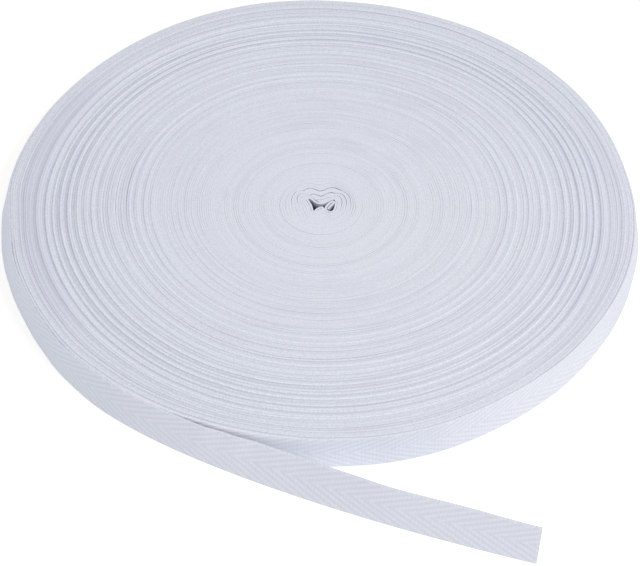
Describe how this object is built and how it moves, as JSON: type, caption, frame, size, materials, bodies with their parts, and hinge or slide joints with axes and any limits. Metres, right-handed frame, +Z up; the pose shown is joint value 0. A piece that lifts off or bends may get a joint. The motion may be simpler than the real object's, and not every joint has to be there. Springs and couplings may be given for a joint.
{
  "type": "roll of herringbone twill tape",
  "caption": "Flat coreless roll of narrow white cotton herringbone tape, lying flat, with its loose end led out on edge across the surface.",
  "frame": {"origin": "on the surface that the roll lies on, under the middle of the whole part's box", "axes": "+Z up, out of the roll's upper face. -Y towards the side where the loose end lies. The tape runs from the left side, at -X, past the near side towards +X."},
  "size_m": [0.2192, 0.2524, 0.0132],
  "materials": {
    "cotton_tape": "matte bleached cotton, herringbone twill"
  },
  "bodies": {
    "root": {"tape_roll": "cotton_tape", "loose_end": "cotton_tape"}
  },
  "joints": []
}
